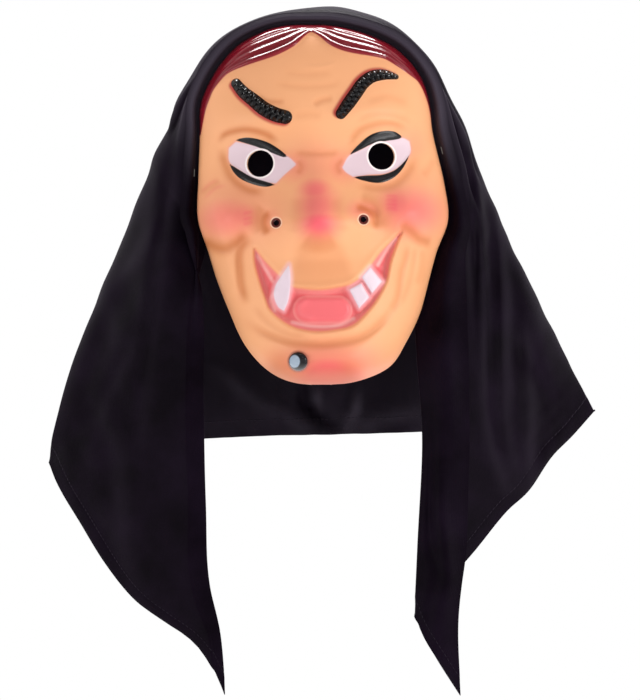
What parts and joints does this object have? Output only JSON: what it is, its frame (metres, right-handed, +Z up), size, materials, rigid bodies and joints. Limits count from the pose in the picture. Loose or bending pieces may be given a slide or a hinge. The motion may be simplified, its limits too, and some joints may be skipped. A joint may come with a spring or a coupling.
{
  "type": "witch mask with headscarf",
  "caption": "Thin moulded witch face, open behind, with a black cloth headscarf along its rim that hangs down the back and in a pointed curtain at each side.",
  "frame": {"origin": "where the crown of the wearer's head meets the underside of the headscarf", "axes": "+Z up; the face looks along -Y; +X is to the right of someone who looks at the face"},
  "size_m": [0.3814, 0.2396, 0.462],
  "materials": {
    "painted_face": "satin spray paint on moulded plastic sheet",
    "black_cloth": "matte brushed knit",
    "staple_wire": "bright wire"
  },
  "bodies": {
    "root": {"face_shell": "painted_face", "headscarf": "black_cloth", "staple_left": "staple_wire", "staple_right": "staple_wire"}
  },
  "joints": []
}
